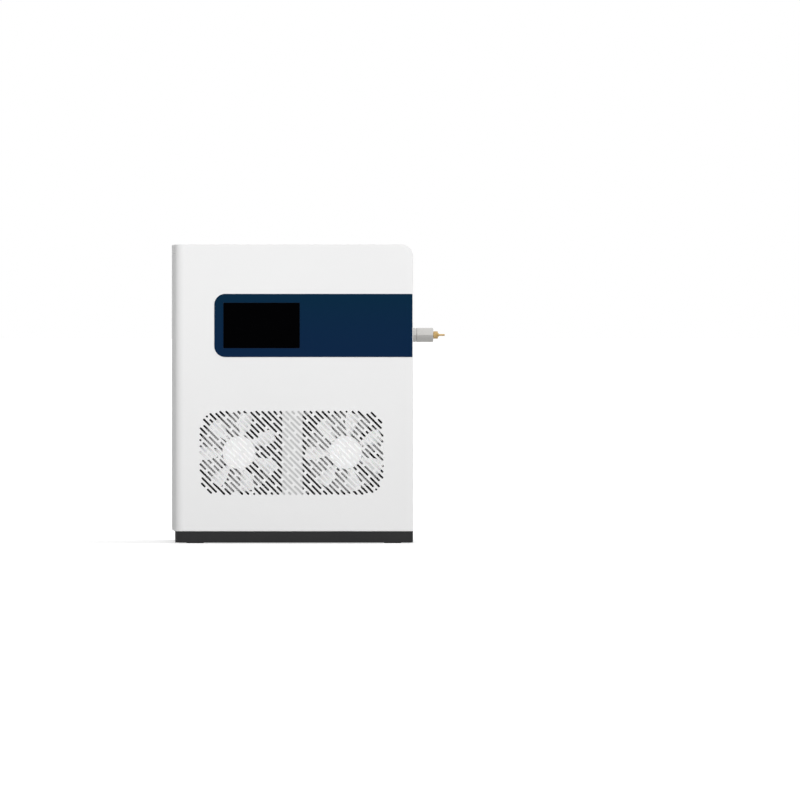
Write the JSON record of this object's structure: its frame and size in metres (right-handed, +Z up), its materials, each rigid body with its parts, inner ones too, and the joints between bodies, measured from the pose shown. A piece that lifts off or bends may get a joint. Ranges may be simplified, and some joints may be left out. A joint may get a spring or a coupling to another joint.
{
  "type": "mass spectrometer",
  "caption": "Benchtop quadrupole mass spectrometer for a gas chromatograph: white cabinet, dark plinth, navy fascia with touch screen, slotted fan grille, side service door.",
  "frame": {"origin": "on the floor under the middle of the cabinet", "axes": "+X to the right as seen from the front, +Y to the back, +Z up; the screen and fans face -Y"},
  "size_m": [0.474, 0.5853, 0.52],
  "materials": {
    "white_paint": "fine satin powder coat",
    "plinth_paint": "dark grey satin paint",
    "black_rubber": "matte",
    "navy_fascia": "satin printed film",
    "screen_glass": "gloss",
    "module_plastic": "matte",
    "bracket_paint": "satin",
    "fan_black": "matte",
    "fan_white": "satin",
    "frame_steel": "zinc grey",
    "screw_steel": "plain",
    "hinge_steel": "brushed",
    "machined_aluminium": "machined",
    "stainless": "polished",
    "brass_fittings": "turned",
    "white_ceramic": "matte",
    "pump_aluminium": "bead blasted",
    "gauge_case": "satin",
    "case_steel": "satin",
    "circuit_board": "solder mask",
    "black_plastic": "fine matte"
  },
  "bodies": {
    "cabinet": {"analyser_bracket": "machined_aluminium", "back_panel": "white_paint", "board_standoffs": "brass_fittings", "chamber_lid": "machined_aluminium", "chamber_seal": "black_rubber", "chassis_frame": "frame_steel", "detector": "stainless", "display_fascia": "navy_fascia", "display_module": "module_plastic", "door_magnets": "screw_steel", "fan_bracket": "bracket_paint", "fan_frame_left": "fan_black", "fan_frame_right": "fan_black", "fan_screws": "screw_steel", "foreline_pipe": "stainless", "front_cover": "white_paint", "hinge_lower_frame_leaf": "hinge_steel", "hinge_upper_frame_leaf": "hinge_steel", "ion_gauge": "gauge_case", "ion_source": "stainless", "lan_port": "black_plastic", "lid_bolts": "screw_steel", "main_board": "circuit_board", "mains_inlet": "black_plastic", "panel_screws": "screw_steel", "plinth": "plinth_paint", "power_supply": "case_steel", "pump_controller": "case_steel", "pump_housing": "pump_aluminium", "quadrupole_collar_front": "white_ceramic", "quadrupole_collar_rear": "white_ceramic", "quadrupole_rod_1": "stainless", "quadrupole_rod_2": "stainless", "quadrupole_rod_3": "stainless", "quadrupole_rod_4": "stainless", "remote_port": "gauge_case", "repeller": "stainless", "rf_feedthrough": "stainless", "rf_generator": "case_steel", "rubber_feet": "black_rubber", "switch_bezel": "black_plastic", "top_shell": "white_paint", "touch_glass": "screen_glass", "transfer_line": "stainless", "transfer_line_nut": "brass_fittings", "vacuum_chamber": "machined_aluminium", "vent_valve": "brass_fittings"},
    "fan_left": {"fan_rotor_left": "fan_white"},
    "fan_right": {"fan_rotor_right": "fan_white"},
    "pump_rotor_body": {"pump_rotor": "pump_aluminium"},
    "service_door": {"side_door": "white_paint", "hinge_lower_door_leaf": "hinge_steel", "hinge_upper_door_leaf": "hinge_steel"},
    "power_rocker": {"switch_rocker": "black_plastic"},
    "vent_knob_body": {"vent_knob": "black_plastic"}
  },
  "joints": [
    {"name": "fan_left_spin", "type": "hinge", "parent": "cabinet", "child": "fan_left", "pos_m": [-0.0958, -0.25, 0.158], "axis": [0, -1, 0], "continuous": true},
    {"name": "fan_right_spin", "type": "hinge", "parent": "cabinet", "child": "fan_right", "pos_m": [0.0898, -0.25, 0.158], "axis": [0, -1, 0], "continuous": true},
    {"name": "pump_rotor_spin", "type": "hinge", "parent": "cabinet", "child": "pump_rotor_body", "pos_m": [-0.035, 0.03, 0.24], "axis": [0, 0, 1], "continuous": true},
    {"name": "service_door_swing", "type": "hinge", "parent": "cabinet", "child": "service_door", "pos_m": [-0.202, 0.263, 0.26], "axis": [0, 0, -1], "range_deg": [0, 110]},
    {"name": "power_rocker_tilt", "type": "hinge", "parent": "cabinet", "child": "power_rocker", "pos_m": [0.105, 0.276, 0.06], "axis": [-1, 0, 0], "range_deg": [0, 18]},
    {"name": "vent_knob_turn", "type": "hinge", "parent": "cabinet", "child": "vent_knob_body", "pos_m": [-0.095, -0.13, 0.312], "axis": [0, -1, 0], "range_deg": [0, 360]}
  ]
}
